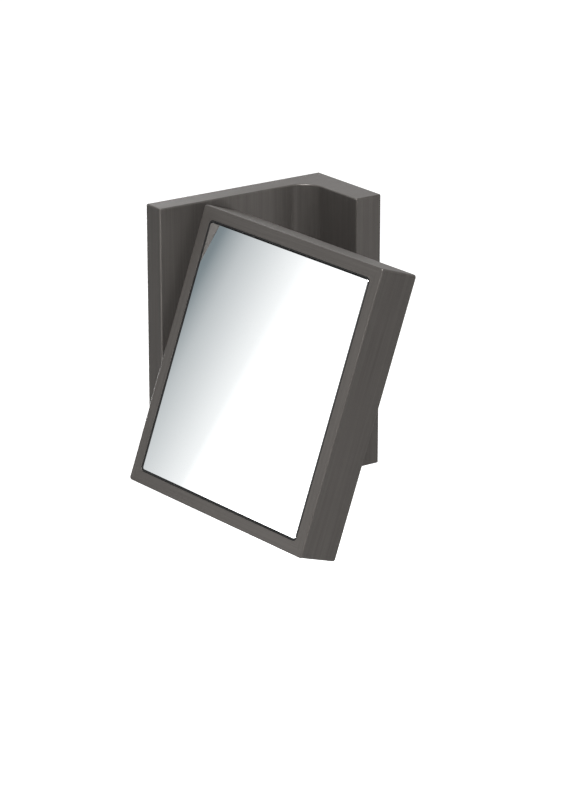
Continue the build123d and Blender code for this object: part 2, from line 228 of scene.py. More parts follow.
def grainGroup():
    # long fine lines left by a brushing belt: v of the map runs along them
    group, given, out = newGroup(
        "brushGrain",
        [("Vector", "NodeSocketVector", None), ("Lines", "NodeSocketFloat", 1500.0),
         ("Run", "NodeSocketFloat", 14.0), ("Seed", "NodeSocketFloat", 0.0)],
        [("Fine", "NodeSocketFloat"), ("Broad", "NodeSocketFloat"), ("Height", "NodeSocketFloat")])
    nodes, links = group.nodes, group.links

    def layer(linesShare, runShare, detail, rough):
        lines = nodes.new("ShaderNodeMath")
        lines.operation = "MULTIPLY"
        lines.inputs[1].default_value = linesShare
        links.new(given.outputs["Lines"], lines.inputs[0])
        run = nodes.new("ShaderNodeMath")
        run.operation = "MULTIPLY"
        run.inputs[1].default_value = runShare
        links.new(given.outputs["Run"], run.inputs[0])
        size = nodes.new("ShaderNodeCombineXYZ")
        links.new(lines.outputs[0], size.inputs["X"])
        links.new(run.outputs[0], size.inputs["Y"])
        links.new(given.outputs["Seed"], size.inputs["Z"])
        stretch = nodes.new("ShaderNodeVectorMath")
        stretch.operation = "MULTIPLY"
        links.new(given.outputs["Vector"], stretch.inputs[0])
        links.new(size.outputs[0], stretch.inputs[1])
        shift = nodes.new("ShaderNodeVectorMath")
        links.new(stretch.outputs[0], shift.inputs[0])
        links.new(given.outputs["Seed"], shift.inputs[1])
        noise = nodes.new("ShaderNodeTexNoise")
        noise.inputs["Scale"].default_value = 1.0
        noise.inputs["Detail"].default_value = detail
        noise.inputs["Roughness"].default_value = rough
        links.new(shift.outputs[0], noise.inputs["Vector"])
        return noise

    fine = layer(1.0, 1.0, 4.0, 0.65)
    broad = layer(0.16, 0.35, 3.0, 0.6)
    links.new(fine.outputs["Fac"], out.inputs["Fine"])
    links.new(broad.outputs["Fac"], out.inputs["Broad"])
    both = nodes.new("ShaderNodeMath")
    both.operation = "MULTIPLY_ADD"
    both.inputs[1].default_value = 0.5
    links.new(broad.outputs["Fac"], both.inputs[0])
    links.new(fine.outputs["Fac"], both.inputs[2])
    links.new(both.outputs[0], out.inputs["Height"])
    return group


def handlingGroup():
    # faint uneven patches, as on any finish that hands and cloths have touched
    group, given, out = newGroup(
        "handling",
        [("Size", "NodeSocketFloat", 30.0), ("Low", "NodeSocketFloat", 0.3),
         ("High", "NodeSocketFloat", 0.4)],
        [("Value", "NodeSocketFloat")])
    nodes, links = group.nodes, group.links
    where = nodes.new("ShaderNodeTexCoord")
    noise = nodes.new("ShaderNodeTexNoise")
    noise.inputs["Detail"].default_value = 3.0
    links.new(where.outputs["Object"], noise.inputs["Vector"])
    links.new(given.outputs["Size"], noise.inputs["Scale"])
    spread = nodes.new("ShaderNodeMapRange")
    spread.inputs["From Min"].default_value = 0.3
    spread.inputs["From Max"].default_value = 0.7
    links.new(noise.outputs["Fac"], spread.inputs["Value"])
    links.new(given.outputs["Low"], spread.inputs["To Min"])
    links.new(given.outputs["High"], spread.inputs["To Max"])
    links.new(spread.outputs["Result"], out.inputs["Value"])
    return group


brushGrain = grainGroup()
handling = handlingGroup()


def newMaterial(name):
    material = bpy.data.materials.new(name)
    material.use_nodes = True
    tree = material.node_tree
    return material, tree.nodes, tree.links, tree.nodes["Principled BSDF"]


def placed(nodes, group, **values):
    node = nodes.new("ShaderNodeGroup")
    node.node_tree = group
    for label, value in values.items():
        node.inputs[label].default_value = value
    return node


def mapRange(nodes, links, source, low, high, fromLow=0.3, fromHigh=0.7):
    node = nodes.new("ShaderNodeMapRange")
    for label, value in (("From Min", fromLow), ("From Max", fromHigh), ("To Min", low), ("To Max", high)):
        node.inputs[label].default_value = value
    links.new(source, node.inputs["Value"])
    return node.outputs["Result"]


def mixColour(nodes, links, share, first, second):
    node = nodes.new("ShaderNodeMix")
    node.data_type = "RGBA"
    node.inputs["A"].default_value = (*first, 1)
    node.inputs["B"].default_value = (*second, 1)
    links.new(share, node.inputs["Factor"])
    return node.outputs["Result"]


def roughened(nodes, links, shader, height, strength, distance):
    bump = nodes.new("ShaderNodeBump")
    bump.inputs["Strength"].default_value = strength
    bump.inputs["Distance"].default_value = distance
    links.new(height, bump.inputs["Height"])
    links.new(bump.outputs["Normal"], shader.inputs["Normal"])


def brushedMetal(name, look):
    material, nodes, links, shader = newMaterial(name)
    shader.inputs["Metallic"].default_value = look["metal"]
    shader.inputs["Anisotropic"].default_value = look["anisotropy"]
    shader.inputs["Specular IOR Level"].default_value = 0.25
    turned = nodes.new("ShaderNodeTangent")
    turned.direction_type, turned.uv_map = "UV_MAP", "grain"
    links.new(turned.outputs["Tangent"], shader.inputs["Tangent"])
    where = nodes.new("ShaderNodeUVMap")
    where.uv_map = "grain"
    grain = placed(nodes, brushGrain, Lines=look["lines"], Run=look["run"], Seed=look["seed"])
    links.new(where.outputs["UV"], grain.inputs["Vector"])
    mask = nodes.new("ShaderNodeMath")
    mask.operation = "MULTIPLY_ADD"
    mask.inputs[1].default_value = 0.35
    links.new(grain.outputs["Broad"], mask.inputs[0])
    scaled = nodes.new("ShaderNodeMath")
    scaled.operation = "MULTIPLY"
    scaled.inputs[1].default_value = 0.65
    links.new(grain.outputs["Fine"], scaled.inputs[0])
    links.new(scaled.outputs[0], mask.inputs[2])
    share = mapRange(nodes, links, mask.outputs[0], 0, 1, 0.36, 0.64)
    links.new(mixColour(nodes, links, share, look["dark"], look["light"]), shader.inputs["Base Color"])
    patches = placed(nodes, handling, Size=22.0, Low=-0.02, High=0.03)
    rough = nodes.new("ShaderNodeMath")
    links.new(mapRange(nodes, links, grain.outputs["Fine"], *look["rough"]), rough.inputs[0])
    links.new(patches.outputs["Value"], rough.inputs[1])
    links.new(rough.outputs[0], shader.inputs["Roughness"])
    roughened(nodes, links, shader, grain.outputs["Height"], look["bump"], 0.04 * mm)
    return material


def plainFinish(name, look):
    # metal, rubber or plastic with faint patches and a fine tooth
    material, nodes, links, shader = newMaterial(name)
    shader.inputs["Metallic"].default_value = look["metal"]
    shader.inputs["Specular IOR Level"].default_value = look.get("gloss", 0.5)
    patches = placed(nodes, handling, Size=look["size"], Low=0.0, High=1.0)
    shade = mixColour(nodes, links, patches.outputs["Value"], look["dark"], look["light"])
    links.new(shade, shader.inputs["Base Color"])
    rough = mapRange(nodes, links, patches.outputs["Value"], *look["rough"], 0, 1)
    links.new(rough, shader.inputs["Roughness"])
    where = nodes.new("ShaderNodeTexCoord")
    tooth = nodes.new("ShaderNodeTexNoise")
    tooth.inputs["Scale"].default_value = look["tooth"]
    tooth.inputs["Detail"].default_value = 4.0
    links.new(where.outputs["Object"], tooth.inputs["Vector"])
    roughened(nodes, links, shader, tooth.outputs["Fac"], look["bump"], 0.05 * mm)
    return material


gunmetal = {
    "dark": (0.046, 0.042, 0.039), "light": (0.064, 0.059, 0.055), "rough": (0.35, 0.45), "metal": 0.55,
    "lines": 2600.0, "run": 14.0, "seed": 3.0, "bump": 0.3, "anisotropy": 0.2,
}
brushedGunmetal = brushedMetal("brushedGunmetal", gunmetal)
satin = {"dark": (0.036, 0.034, 0.032), "light": (0.046, 0.043, 0.041), "rough": (0.42, 0.5), "bump": 0.2}
satinGunmetal = brushedMetal("satinGunmetal", {**gunmetal, **satin, "seed": 9.0})
finishes = {
    "dark_steel": {"metal": 1.0, "dark": (0.03, 0.03, 0.032), "light": (0.055, 0.055, 0.058),
                   "rough": (0.32, 0.46), "size": 90.0, "tooth": 2500.0, "bump": 0.2},
    "zinc_steel": {"metal": 1.0, "dark": (0.43, 0.44, 0.46), "light": (0.53, 0.54, 0.55),
                   "rough": (0.34, 0.44), "size": 420.0, "tooth": 1800.0, "bump": 0.25},
    "spring_steel": {"metal": 1.0, "dark": (0.14, 0.12, 0.11), "light": (0.22, 0.20, 0.18),
                     "rough": (0.25, 0.4), "size": 200.0, "tooth": 2500.0, "bump": 0.2},
    "bearing_bronze": {"metal": 1.0, "dark": (0.33, 0.19, 0.08), "light": (0.45, 0.28, 0.13),
                       "rough": (0.35, 0.5), "size": 300.0, "tooth": 3500.0, "bump": 0.5},
    "black_rubber": {"metal": 0.0, "dark": (0.004, 0.004, 0.004), "light": (0.008, 0.008, 0.008),
                     "rough": (0.75, 0.9), "size": 80.0, "tooth": 4000.0, "bump": 0.4, "gloss": 0.15},
    "black_plastic": {"metal": 0.0, "dark": (0.012, 0.012, 0.012), "light": (0.02, 0.02, 0.02),
                      "rough": (0.45, 0.6), "size": 80.0, "tooth": 3000.0, "bump": 0.4},
    "white_plastic": {"metal": 0.0, "dark": (0.66, 0.65, 0.62), "light": (0.74, 0.73, 0.7),
                      "rough": (0.35, 0.5), "size": 150.0, "tooth": 2500.0, "bump": 0.2},
    "grey_foam": {"metal": 0.0, "dark": (0.2, 0.2, 0.21), "light": (0.28, 0.28, 0.29), "rough": (0.85, 0.95),
                  "size": 60.0, "tooth": 1200.0, "bump": 1.0},
}
slotMaterial = {name: plainFinish(name, look) for name, look in finishes.items()}
slotMaterial["brushed_gunmetal"] = brushedGunmetal
slotMaterial["satin_gunmetal"] = satinGunmetal
print("materials made")

bracketSettings = {
    "arm": 17 * mm, "innerRadius": 15 * mm, "legDepth": 20 * mm, "cornerRadius": 1.2 * mm, "rim": 1.0 * mm,
    "wall": 3 * mm,
    "bossRadius": 14 * mm, "boreRadius": 8 * mm, "pocketRadius": 11 * mm, "pocketDepth": 10 * mm,
    "grubX": 15 * mm, "grubY": -9 * mm, "grubRadius": 2.5 * mm, "grubBossRadius": 5 * mm,
    "grubBossHeight": 3.5 * mm, "grubSocket": 2.5 * mm, "grubSocketDeep": 3 * mm, "past": 2 * mm,
}
low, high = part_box("bracket_body")
left, right, front, top = low.x, high.x, low.y, high.z
armRight = left + bracketSettings["arm"]


def tube(radius, start, end, place=None, steps=64):
    piece = lathe("tube", [(0, start), (radius, start), (radius, end), (0, end)], steps)
    return moved(piece, place) if place is not None else piece


def bracketOutline(inset, wall, backEdge=0.0):
    # seen from above; the wall side stays straight
    s = bracketSettings
    small = s["cornerRadius"] if wall == 0 else 0
    corners = [(left + wall, front + wall, small), (armRight - wall, front + wall, small),
               (armRight - wall, wall - s["legDepth"], s["innerRadius"] + wall),
               (right - wall, wall - s["legDepth"], small), (right - wall, backEdge, 0),
               (left + wall, backEdge, 0)]
    points = roundedOutline(corners, inset, 16)
    return [(p.x, backEdge if p.y > backEdge - 1.5 * mm else p.y) for p in points]


def bracketShell():
    s = bracketSettings
    edge = quarter(s["rim"])
    rings = [[(x, y, -top + drop) for x, y in bracketOutline(inset, 0)] for inset, drop in edge]
    rings += [[(x, y, top - drop) for x, y in bracketOutline(inset, 0)] for inset, drop in edge[::-1]]
    shell = loft("bracketShell", rings)
    room = bracketOutline(0, s["wall"], s["past"])
    cut(shell, loft("hollow", [[(x, y, z) for x, y in room] for z in (s["wall"] - top, top - s["wall"])]))
    cut(shell, tube(s["bossRadius"], -armRight + 0.3 * mm, -left - 1.5 * mm, armPlace), "UNION")
    cut(shell, tube(s["boreRadius"], -armRight - s["past"], -left - 5 * mm, armPlace))
    cut(shell, tube(s["pocketRadius"], -left - s["pocketDepth"], -left + s["past"], armPlace))
    for x in (-s["grubX"], s["grubX"]):
        place = Matrix.Translation((x, s["grubY"], -top))
        bossTop = s["wall"] + s["grubBossHeight"]
        cut(shell, tube(s["grubBossRadius"], s["wall"] / 2, bossTop, place, 48), "UNION")
        cut(shell, tube(s["grubRadius"], -s["past"], bossTop + s["past"], place, 48))
    grainMap(shell, uprightGrain)
    return finished(shell, "bracket", "brushed_gunmetal", brushedGunmetal, "bracket_body")


bracketShell()
print("bracket shell made")

plateSettings = {
    "thick": 3 * mm, "bend": 2 * mm, "inside": 0.5 * mm, "lipEdge": 0.4 * mm, "lipCorner": 3 * mm,
    "holeRadius": 2.75 * mm, "holeEdge": 0.3 * mm, "holeX": 18 * mm, "holeZ": 60 * mm, "rim": 0.3 * mm,
}


def wallPlate():
    # U section run along x, its lips turned into the room, holes for the wall screws
    s = plateSettings
    low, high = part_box("wall_mount_plate")
    t = s["thick"]
    edge = s["lipEdge"]
    corners = [(low.y, low.z, edge), (high.y, low.z, s["bend"]), (high.y, high.z, s["bend"]),
               (low.y, high.z, edge), (low.y, high.z - t, edge), (high.y - t, high.z - t, s["inside"]),
               (high.y - t, low.z + t, s["inside"]), (low.y, low.z + t, edge)]
    plate = loft("wallPlate", prismRings(corners, low.x, high.x, s["rim"]))
    moved(plate, Matrix(((0, 0, 1, 0), (1, 0, 0, 0), (0, 1, 0, 0), (0, 0, 0, 1))))
    r = s["lipCorner"]
    swings = [math.radians(9 * k) for k in range(11)]
    for x in (low.x, high.x):
        turned = 1 if x > 0 else -1
        outside = [(x - turned * (r - r * math.sin(a)), low.y + r - r * math.cos(a)) for a in swings]
        outside += [(x + turned * mm, low.y), (x + turned * mm, low.y - mm), (x - turned * r, low.y - mm)]
        cut(plate, loft("lipTool", [[(a, b, z) for a, b in outside] for z in (-200 * mm, 200 * mm)]))
    holeTurn = Matrix.Rotation(math.radians(90), 4, "X")
    hole, edge = s["holeRadius"], s["holeEdge"]
    profile = [(0, -mm), (hole + edge, -mm), (hole + edge, 0), (hole, edge), (hole, t - edge),
               (hole + edge, t), (hole + edge, t + mm), (0, t + mm)]
    for x in (-s["holeX"], s["holeX"]):
        for z in (-s["holeZ"], s["holeZ"]):
            cut(plate, moved(lathe("hole", profile, 48), Matrix.Translation((x, 0, z)) @ holeTurn))
    return finished(plate, "bracket", "zinc_steel", slotMaterial["zinc_steel"], "wall_mount_plate")


wallPlate()
print("wall plate made")

capSettings = {"radius": 10.95 * mm, "inner": 9.8 * mm, "face": 1.0 * mm, "rim": 0.3 * mm}


def pivotCap():
    s = capSettings
    low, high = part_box("pivot_cap")
    outer, inner = -low.x, -high.x
    rim = [(s["radius"] - inset, outer - drop) for inset, drop in quarter(s["rim"])]
    underside = outer - s["face"]
    profile = [(0, outer)] + rim
    profile += [(s["radius"], inner), (s["inner"], inner), (s["inner"], underside), (0, underside)]
    cap = moved(lathe("pivotCap", profile, 96), armPlace)
    grainMap(cap, uprightGrain)
    return finished(cap, "bracket", "brushed_gunmetal", brushedGunmetal, "pivot_cap")


pivotCap()

shaftSettings = {
    "eyeRadius": 9 * mm, "eyeHalf": 6 * mm, "bore": 4.05 * mm, "neck": 5.5 * mm, "collar": 7.5 * mm,
    "collarThick": 1 * mm, "collarEdge": 0.2 * mm,
    "journal": 5.96 * mm, "journalEnd": 26.6 * mm, "collarFace": 17.2 * mm,
    "thread": 4 * mm, "threadDeep": 0.55 * mm, "pitch": 1.25 * mm, "edge": 0.5 * mm,
}
swivelPlace = Matrix.Translation(pivot) @ headTurn.to_4x4() @ Matrix.Rotation(math.radians(-90), 4, "X")


def tiltShaft():
    s = shaftSettings
    end = -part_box("tilt_shaft")[0].x
    e, face = s["edge"], s["collarFace"]
    back = face - s["collarThick"]
    profile = [(0, -pivot.x), (s["neck"], -pivot.x), (s["neck"], back),
               (s["collar"] - s["collarEdge"], back), (s["collar"], back + s["collarEdge"]),
               (s["collar"], face), (s["journal"], face), (s["journal"], s["journalEnd"] - e),
               (s["journal"] - e, s["journalEnd"])]
    level = s["journalEnd"] + 0.2 * mm
    while level < end - 1.6 * mm:  # rolled thread, as rings
        profile += [(s["thread"], level), (s["thread"] - s["threadDeep"], level + s["pitch"] / 2)]
        level += s["pitch"]
    profile += [(s["thread"], level), (s["thread"], end - e), (s["thread"] - e, end), (0, end)]
    shaft = moved(lathe("tiltShaft", profile, 64), armPlace)
    half, r = s["eyeHalf"], s["eyeRadius"]
    eye = [(0, -half), (r - e, -half), (r, e - half), (r, half - e), (r - e, half), (0, half)]
    cut(shaft, moved(lathe("eye", eye, 72), swivelPlace), "UNION")
    cut(shaft, tube(s["bore"], -2 * half, 2 * half, swivelPlace))
    return finished(shaft, "tilt_knuckle", "dark_steel", slotMaterial["dark_steel"], "tilt_shaft")


tiltShaft()
print("cap and shaft made")

frameSettings = {
    "wall": 2.5 * mm, "border": 8.3 * mm, "borderThick": 2 * mm, "corner": 2 * mm, "edge": 0.8 * mm,
    "windowCorner": 3.4 * mm, "windowEdge": 0.25 * mm, "backEdge": 0.3 * mm, "insideCorner": 0.8 * mm,
    "slotUp": 16.6 * mm, "slotDeep": 21.8 * mm, "slotCorner": 3 * mm,
}


def ringAt(half, corner, level, inset=0.0, steps=8):
    # rounded rectangle round the box's axis at one depth
    return [(p.x, p.y, level) for p in roundedOutline(rectCorners(half[0], half[1], corner), inset, steps)]


def mirrorBox():
    s = frameSettings
    w, h, depth = boxHalf
    outer = (w, h)
    window = (w - s["border"], h - s["border"])
    inner = (w - s["wall"], h - s["wall"])
    rings = [ringAt(outer, s["corner"], drop - depth, inset) for inset, drop in quarter(s["backEdge"], 3)]
    rings += [ringAt(outer, s["corner"], depth - drop, inset) for inset, drop in quarter(s["edge"], 6)[::-1]]
    windowEdge = quarter(s["windowEdge"], 3)
    rings += [ringAt(window, s["windowCorner"], depth - drop, -inset) for inset, drop in windowEdge]
    behind = depth - s["borderThick"]
    rings += [ringAt(window, s["windowCorner"], behind), ringAt(inner, s["insideCorner"], behind),
              ringAt(inner, s["insideCorner"], -depth)]
    deepBox = loft("mirrorBox", rings, loop=True)
    slotCorners = rectCorners(s["slotUp"] / 2, s["slotDeep"] / 2, s["slotCorner"])
    slotEnds = (-w - 2 * mm, -w + 2 * s["wall"])
    slotRings = [[(x, p.x, p.y) for p in roundedOutline(slotCorners)] for x in slotEnds]
    cut(deepBox, loft("slotTool", slotRings))
    grainMap(deepBox, headGrain)
    layer = deepBox.data.uv_layers["grain"].data
    for face in deepBox.data.polygons:  # top and bottom strips of the border are brushed along themselves
        if abs(face.normal.z) > 0.7 and h - abs(face.center.y) < w - abs(face.center.x):
            for corner in face.loop_indices:
                p = deepBox.data.vertices[deepBox.data.loops[corner].vertex_index].co
                layer[corner].uv = (p.y, p.x)
    return finished(deepBox, "mirror_head", "brushed_gunmetal", brushedGunmetal, "mirror_frame",
                    place=headPlace)


mirrorBox()
print("mirror box made")

glassSettings = {
    "bevel": 0.8 * mm, "corner": 2.4 * mm, "backEdge": 0.2 * mm, "lip": 1.0 * mm, "foot": 1.6 * mm,
    "dim": (0.93, 0.945, 0.945), "bright": (0.95, 0.96, 0.962),
}


def silvering():
    material, nodes, links, shader = newMaterial("silveredGlass")
    shader.inputs["Metallic"].default_value = 1.0
    patches = placed(nodes, handling, Size=9.0, Low=0.0, High=1.0)
    tint = mixColour(nodes, links, patches.outputs["Value"], glassSettings["dim"], glassSettings["bright"])
    links.new(tint, shader.inputs["Base Color"])
    where = nodes.new("ShaderNodeTexCoord")
    wipes = nodes.new("ShaderNodeTexNoise")
    wipes.inputs["Scale"].default_value = 60.0
    wipes.inputs["Detail"].default_value = 5.0
    links.new(where.outputs["Object"], wipes.inputs["Vector"])
    links.new(mapRange(nodes, links, wipes.outputs["Fac"], 0.012, 0.045), shader.inputs["Roughness"])
    roughened(nodes, links, shader, patches.outputs["Value"], 0.02, 0.02 * mm)
    return material


slotMaterial["silvered_glass"] = silvering()
glassLow, glassHigh = headSpan("mirror_glass")


def mirrorPane():
    s = glassSettings
    half = (glassHigh.x, glassHigh.y)
    back = quarter(s["backEdge"], 2)
    rings = [ringAt(half, s["corner"], glassLow.z + drop, inset) for inset, drop in back]
    rings += [ringAt(half, s["corner"], glassHigh.z - s["bevel"])]
    rings += [ringAt(half, s["corner"], glassHigh.z, s["bevel"])]
    return finished(loft("mirrorPane", rings), "mirror_head", "silvered_glass",
                    slotMaterial["silvered_glass"], "mirror_glass", place=headPlace, sharp=20)


def glassSeal():
    s = glassSettings
    low, high = headSpan("glass_gasket")
    inner = (glassHigh.x, glassHigh.y)
    lip = (glassHigh.x + s["lip"], glassHigh.y + s["lip"])
    behind = boxHalf.z - frameSettings["borderThick"]
    lipRound = s["lip"] * 0.2
    rings = [ringAt(inner, s["corner"], low.z), ringAt(inner, s["corner"], high.z - lipRound)]
    rounding = quarter(lipRound, 4)
    rings += [ringAt(inner, s["corner"], high.z - drop, -inset) for inset, drop in rounding[::-1]][1:]
    lipCorner = s["corner"] + s["lip"]
    rings += [ringAt(lip, lipCorner, high.z - drop, inset) for inset, drop in rounding]
    rings += [ringAt(lip, lipCorner, behind), ringAt((high.x, high.y), s["corner"] + s["foot"], behind),
              ringAt((high.x, high.y), s["corner"] + s["foot"], low.z)]
    return finished(loft("glassSeal", rings, loop=True), "mirror_head", "black_rubber",
                    slotMaterial["black_rubber"], "glass_gasket", place=headPlace)


mirrorPane()
glassSeal()
print("glass and seal made")

linerSettings = {
    "lipUp": 16.4 * mm, "lipDeep": 21.6 * mm, "lipCorner": 2.9 * mm,
    "flangeUp": 21 * mm, "flangeDeep": 26 * mm, "flangeCorner": 3 * mm,
    "openUp": 13.2 * mm, "openDeep": 18.4 * mm, "openCorner": 2.5 * mm,
    "recess": 0.1 * mm, "wall": 2.5 * mm, "flangeThick": 1.2 * mm, "soften": 0.4 * mm,
}


def slotLiner():
    s = linerSettings
    lip, flange, opening = [(s[k + "Up"] / 2, s[k + "Deep"] / 2) for k in ("lip", "flange", "open")]
    level = boxHalf.x - s["recess"]
    behind, end = boxHalf.x - s["wall"], boxHalf.x - s["wall"] - s["flangeThick"]
    soft = quarter(s["soften"], 4)
    rings = [ringAt(opening, s["openCorner"], level - drop, -inset) for inset, drop in soft][::-1]
    rings += [ringAt(lip, s["lipCorner"], level), ringAt(lip, s["lipCorner"], behind),
              ringAt(flange, s["flangeCorner"], behind), ringAt(flange, s["flangeCorner"], end),
              ringAt(opening, s["openCorner"], end)]
    liner = loft("slotLiner", rings, loop=True)
    moved(liner, Matrix(((0, 0, -1, 0), (1, 0, 0, 0), (0, -1, 0, 0), (0, 0, 0, 1))))
    return finished(liner, "mirror_head", "black_plastic", slotMaterial["black_plastic"], "slot_liner",
                    place=headPlace)


slotLiner()

coverSettings = {
    "corner": 1.0 * mm, "edge": 0.3 * mm, "headRadius": 2.9 * mm, "holeRadius": 1.5 * mm,
    "screwX": 140 * mm, "screwY": 158 * mm, "shank": 10.5 * mm, "socket": 2 * mm, "socketDeep": 1.0 * mm,
}


def backCover():
    s = coverSettings
    low, high = headSpan("back_cover")
    cover = loft("backCover", prismRings(rectCorners(high.x, high.y, s["corner"]), low.z, high.z, s["edge"]))
    deep, gap = high.z - low.z, 0.05 * mm
    profile = [(0, -mm), (s["headRadius"] + 0.9 * mm, -mm), (s["headRadius"], 0),
               (s["holeRadius"] + gap, deep + gap), (0, deep + gap)]
    for x in (-s["screwX"] / 2, s["screwX"] / 2):
        for y in (-s["screwY"] / 2, s["screwY"] / 2):
            cut(cover, moved(lathe("countersink", profile, 48), Matrix.Translation((x, y, low.z))))
    grainMap(cover, headGrain)
    return finished(cover, "mirror_head", "satin_gunmetal", satinGunmetal, "back_cover", place=headPlace)


backCover()
print("liner and cover made")

def rowTree():
    # copies of one piece at the corners of a grid
    tree = bpy.data.node_groups.new("screwGrid", "GeometryNodeTree")
    for label, kind, value in (("Piece", "NodeSocketObject", None), ("Spacing X", "NodeSocketFloat", 0.1),
                               ("Spacing Y", "NodeSocketFloat", 0.1), ("Columns", "NodeSocketInt", 2),
                               ("Rows", "NodeSocketInt", 2), ("Height", "NodeSocketFloat", 0.0),
                               ("Finish", "NodeSocketMaterial", None)):
        socket = tree.interface.new_socket(name=label, in_out="INPUT", socket_type=kind)
        if value is not None:
            socket.default_value = value
    tree.interface.new_socket(name="Geometry", in_out="OUTPUT", socket_type="NodeSocketGeometry")
    nodes, links = tree.nodes, tree.links
    given, out = nodes.new("NodeGroupInput"), nodes.new("NodeGroupOutput")
    grid = nodes.new("GeometryNodeMeshGrid")
    for label, socket in (("Spacing X", "Size X"), ("Spacing Y", "Size Y"),
                          ("Columns", "Vertices X"), ("Rows", "Vertices Y")):
        links.new(given.outputs[label], grid.inputs[socket])
    lift = nodes.new("ShaderNodeCombineXYZ")
    links.new(given.outputs["Height"], lift.inputs["Z"])
    place = nodes.new("GeometryNodeSetPosition")
    links.new(grid.outputs["Mesh"], place.inputs["Geometry"])
    links.new(lift.outputs[0], place.inputs["Offset"])
    source = nodes.new("GeometryNodeObjectInfo")
    links.new(given.outputs["Piece"], source.inputs["Object"])
    copies = nodes.new("GeometryNodeInstanceOnPoints")
    links.new(place.outputs["Geometry"], copies.inputs["Points"])
    links.new(source.outputs["Geometry"], copies.inputs["Instance"])
    real = nodes.new("GeometryNodeRealizeInstances")
    links.new(copies.outputs["Instances"], real.inputs["Geometry"])
    finish = nodes.new("GeometryNodeSetMaterial")
    links.new(real.outputs["Geometry"], finish.inputs["Geometry"])
    links.new(given.outputs["Finish"], finish.inputs["Material"])
    links.new(finish.outputs["Geometry"], out.inputs["Geometry"])
    return tree


screwGrid = rowTree()


def laidOut(name, one, values):
    holder = bpy.data.objects.new(name, bpy.data.meshes.new(name))
    scene.collection.objects.link(holder)
    step = holder.modifiers.new("grid", "NODES")
    step.node_group = screwGrid
    items = screwGrid.interface.items_tree
    sockets = {item.name: item.identifier for item in items if item.in_out == "INPUT"}
    for label, value in {**values, "Piece": one}.items():
        step[sockets[label]] = value
    applied(holder)
    bpy.data.objects.remove(one)
    return holder


def hexTool(acrossFlats, start, end):
    reach = acrossFlats / math.sqrt(3)
    turns = [math.radians(60 * k) for k in range(6)]
    corners = [(reach * math.cos(t), reach * math.sin(t)) for t in turns]
    return loft("hexTool", [[(x, y, z) for x, y in corners] for z in (start, end)])


def coverScrews():
    s = coverSettings
    low, high = headSpan("back_cover")
    deep = high.z - low.z
    r = s["headRadius"] - 0.03 * mm
    profile = [(0, 0), (r - 0.1 * mm, 0), (r, 0.1 * mm), (s["holeRadius"], deep),
               (s["holeRadius"], s["shank"]), (0, s["shank"])]
    one = lathe("oneScrew", profile, 48)
    cut(one, hexTool(s["socket"], -mm, s["socketDeep"]))
    grid = {"Spacing X": s["screwX"], "Spacing Y": s["screwY"], "Columns": 2, "Rows": 2, "Height": low.z,
            "Finish": slotMaterial["dark_steel"]}
    return finished(laidOut("coverScrews", one, grid), "mirror_head", "dark_steel",
                    slotMaterial["dark_steel"], "cover_screws", place=headPlace)


def grubScrews():
    s = bracketSettings
    low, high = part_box("grub_screws")
    length = high.z - low.z
    r = s["grubRadius"] - 0.02 * mm
    profile = [(0, 0), (r - 0.3 * mm, 0), (r, 0.3 * mm), (r, length - 0.6 * mm), (r - 0.6 * mm, length),
               (0, length)]
    one = lathe("oneGrub", profile, 48)
    cut(one, hexTool(s["grubSocket"], -mm, s["grubSocketDeep"]))
    grid = {"Spacing X": 2 * s["grubX"], "Spacing Y": 0.0, "Columns": 2, "Rows": 1, "Height": 0.0,
            "Finish": slotMaterial["dark_steel"]}
    return finished(laidOut("grubScrews", one, grid), "bracket", "dark_steel", slotMaterial["dark_steel"],
                    "grub_screws", place=Matrix.Translation((0, s["grubY"], low.z)))


coverScrews()
grubScrews()
print("screws made")

# hidden parts keep their CAD shape
nodeSlot = {
    "tilt_bush": "bearing_bronze", "friction_washer": "white_plastic", "pressure_washer": "zinc_steel",
    "tilt_disc_springs": "spring_steel", "tilt_lock_nut": "zinc_steel", "weld_studs": "zinc_steel",
    "adhesive_pad": "grey_foam",
    "carrier_plate": "zinc_steel", "carrier_nuts": "zinc_steel", "swivel_fork": "zinc_steel",
    "fork_screws": "dark_steel",
    "swivel_washers": "white_plastic", "swivel_pin": "dark_steel", "swivel_disc_springs": "spring_steel",
    "swivel_lock_nut": "zinc_steel", "cover_standoffs": "zinc_steel",
}
for node, finish in nodeSlot.items():
    piece = frame["nodes"][node]
    piece.data.materials.clear()
    piece.data.materials.append(slotMaterial[finish])
print("hidden parts finished")

studio = {
    "floorDepth": 1.0, "floorReach": 30.0, "floorShade": (0.5, 0.5, 0.5), "floorGlow": 0.9,
    "cardAway": 0.62, "cardWide": 0.5, "cardTall": 0.5, "cardLow": 3.0, "cardLevel": 1.0,
    "lowSpan": (0.08, 0.80), "sideSpan": (0.38, 0.524),
    "air": (0.56, 0.14), "airRise": (1.15, 0.45), "airSeen": 1.06, "cameraWay": (0.8, -0.6, 0.0),
}
# brightness across the card, dim at the glass's upper left
cardSteps = [(0.0, 1.25), (0.46, 1.25), (0.506, 1.05), (0.53, 0.95), (0.572, 0.76), (0.615, 0.575),
             (0.643, 0.38), (0.658, 0.25), (0.72, 0.20), (1.0, 0.20)]


def stagePlane(name, points, material):
    mesh = bpy.data.meshes.new(name)
    mesh.from_pydata(points, [], [tuple(range(len(points)))])
    plane = bpy.data.objects.new(name, mesh)
    scene.collection.objects.link(plane)
    mesh.materials.append(material)
    return plane


